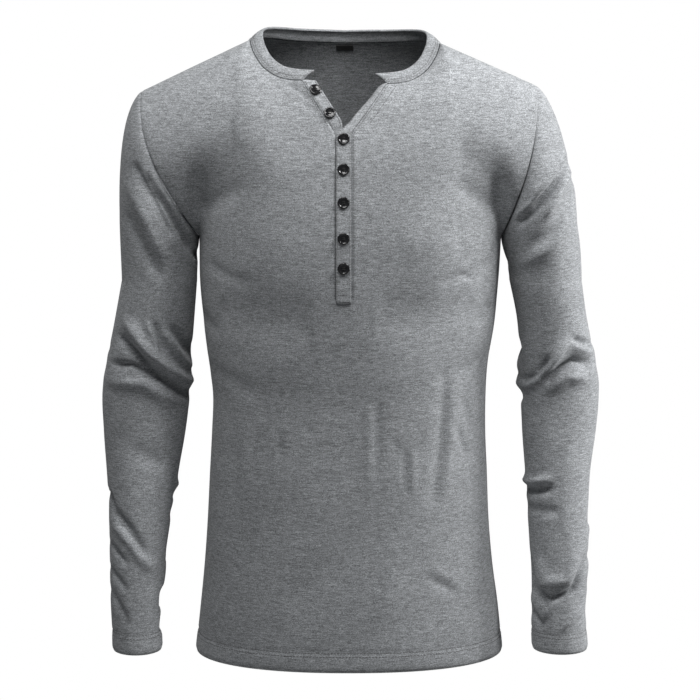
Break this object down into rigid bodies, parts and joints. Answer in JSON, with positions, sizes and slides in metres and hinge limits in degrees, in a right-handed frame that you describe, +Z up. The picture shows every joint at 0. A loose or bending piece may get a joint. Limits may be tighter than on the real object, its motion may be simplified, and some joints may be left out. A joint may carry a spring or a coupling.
{
  "type": "long-sleeve henley shirt",
  "caption": "Collarless long-sleeve henley in grey heather jersey with a bound neck and buttoned placket, filled out as worn with its arms hanging.",
  "frame": {"origin": "between the shoulders, level with the shoulder tips, in the middle of the thickness of the body", "axes": "+Z up towards the neck, front of the shirt towards -Y, the wearer's left towards +X"},
  "size_m": [0.5566, 0.2439, 0.6984],
  "materials": {
    "jersey": "matt grey heather single jersey",
    "binding": "matt grey heather jersey, folded double and topstitched",
    "button": "glossy black",
    "label": "matt black woven tape"
  },
  "bodies": {
    "root": {"front_panel": "jersey", "back_panel": "jersey", "sleeve_right": "jersey", "sleeve_left": "jersey", "neck_binding": "binding", "placket_under": "jersey", "placket_over": "jersey", "button_1": "button", "button_2": "button", "button_3": "button", "button_4": "button", "button_5": "button", "button_6": "button", "button_7": "button", "neck_label": "label"}
  },
  "joints": []
}
